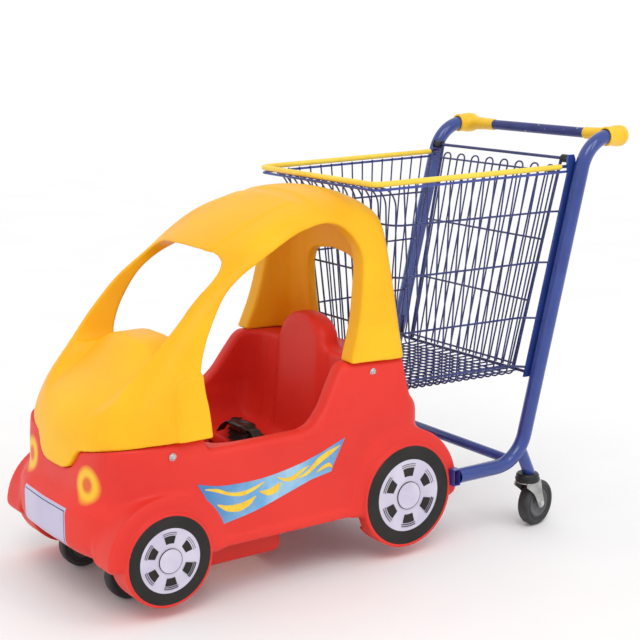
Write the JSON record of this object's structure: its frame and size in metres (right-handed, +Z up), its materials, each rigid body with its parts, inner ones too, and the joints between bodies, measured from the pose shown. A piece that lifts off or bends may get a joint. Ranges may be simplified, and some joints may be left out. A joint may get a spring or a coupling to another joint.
{
  "type": "shopping cart with toy car",
  "caption": "Children's shopping cart: wire basket with swinging rear gate on a bent tube frame, toy car cabin with seat in front, swivelling rear casters.",
  "frame": {"origin": "centre of the bounding box, on the floor", "axes": "+Z up, -Y the way the cart travels, X across the cart"},
  "size_m": [0.625, 1.4712, 0.991],
  "materials": {
    "frame_steel": "blue enamelled steel tube, glossy",
    "wire_steel": "dark blue enamelled wire",
    "chassis_steel": "blue enamelled square and oblong tube",
    "fork_steel": "pressed zinc-plated steel",
    "fastener_steel": "zinc-plated bolts",
    "rim_cover": "yellow extruded plastic",
    "rim_wire": "blue coated wire",
    "hinge_plastic": "black nylon bush",
    "corner_plastic": "yellow moulded plastic",
    "grip_plastic": "blue printed grip",
    "collar_plastic": "black moulded plastic",
    "hub_plastic": "dark grey moulded hub",
    "tyre": "dark grey solid tyre",
    "body_red": "rotationally moulded red plastic",
    "roof_yellow": "rotationally moulded yellow plastic",
    "wheel_sticker": "printed vinyl, dark ring and pale disc",
    "graphic_sticker": "printed vinyl, blue with bright flourishes",
    "plate_sticker": "printed vinyl panel",
    "belt_webbing": "black woven webbing",
    "belt_buckle": "black moulded buckle"
  },
  "bodies": {
    "cart": {"basket_floor_cross_wires": "wire_steel", "basket_floor_long_wires": "wire_steel", "basket_front_wires": "wire_steel", "basket_hoops": "wire_steel", "basket_rear_rod": "wire_steel", "basket_rim_cover": "rim_cover", "basket_rim_rod": "wire_steel", "basket_rim_wire": "rim_wire", "basket_side_wires_left": "wire_steel", "basket_side_wires_right": "wire_steel", "belt_buckle": "belt_buckle", "belt_webbing": "belt_webbing", "car_body": "body_red", "car_roof": "roof_yellow", "caster_stem_left": "frame_steel", "caster_stem_right": "frame_steel", "chassis_cross_member": "chassis_steel", "chassis_rail_left": "chassis_steel", "chassis_rail_right": "chassis_steel", "front_axle_left": "fastener_steel", "front_axle_right": "fastener_steel", "front_beam": "chassis_steel", "front_bracket_left": "fork_steel", "front_bracket_right": "fork_steel", "front_wheel_stickers": "wheel_sticker", "handle_bar": "frame_steel", "handle_corner_left": "corner_plastic", "handle_corner_right": "corner_plastic", "handle_grip": "grip_plastic", "hinge_bush_left": "hinge_plastic", "hinge_bush_right": "hinge_plastic", "mounting_strip_left": "frame_steel", "mounting_strip_right": "frame_steel", "plate_sticker": "plate_sticker", "rear_collar_left": "collar_plastic", "rear_collar_right": "collar_plastic", "rear_cross_tube": "frame_steel", "rear_kingpin_left": "fastener_steel", "rear_kingpin_right": "fastener_steel", "rear_wheel_stickers": "wheel_sticker", "roof_screws": "fastener_steel", "side_stickers": "graphic_sticker", "side_tube_left": "frame_steel", "side_tube_right": "frame_steel"},
    "front_wheel_left": {"front_hub_left": "hub_plastic", "front_tyre_left": "tyre"},
    "front_wheel_right": {"front_hub_right": "hub_plastic", "front_tyre_right": "tyre"},
    "gate": {"gate_cross_wires": "wire_steel", "gate_hairpin_wires": "wire_steel", "gate_hinge_rod": "wire_steel", "gate_side_wires": "wire_steel"},
    "rear_fork_left": {"rear_axle_left": "fastener_steel", "rear_fork_left": "fork_steel"},
    "rear_fork_right": {"rear_axle_right": "fastener_steel", "rear_fork_right": "fork_steel"},
    "rear_wheel_left": {"rear_hub_left": "hub_plastic", "rear_tyre_left": "tyre"},
    "rear_wheel_right": {"rear_hub_right": "hub_plastic", "rear_tyre_right": "tyre"}
  },
  "joints": [
    {"name": "gate_swing", "type": "hinge", "parent": "cart", "child": "gate", "pos_m": [0, 0.574, 0.914], "axis": [-1, 0, 0], "range_deg": [0, 58]},
    {"name": "rear_swivel_left", "type": "hinge", "parent": "cart", "child": "rear_fork_left", "pos_m": [-0.282, 0.443, 0.12], "axis": [0, 0, 1], "continuous": true},
    {"name": "rear_spin_left", "type": "hinge", "parent": "rear_fork_left", "child": "rear_wheel_left", "pos_m": [-0.27452, 0.47821, 0.0575], "axis": [0.9781, -0.2079, 0], "continuous": true},
    {"name": "front_spin_left", "type": "hinge", "parent": "cart", "child": "front_wheel_left", "pos_m": [-0.117, -0.583, 0.0575], "axis": [1, 0, 0], "continuous": true},
    {"name": "rear_swivel_right", "type": "hinge", "parent": "cart", "child": "rear_fork_right", "pos_m": [0.282, 0.443, 0.12], "axis": [0, 0, 1], "continuous": true},
    {"name": "rear_spin_right", "type": "hinge", "parent": "rear_fork_right", "child": "rear_wheel_right", "pos_m": [0.27452, 0.47821, 0.0575], "axis": [0.9781, 0.2079, 0], "continuous": true},
    {"name": "front_spin_right", "type": "hinge", "parent": "cart", "child": "front_wheel_right", "pos_m": [0.117, -0.583, 0.0575], "axis": [1, 0, 0], "continuous": true}
  ]
}
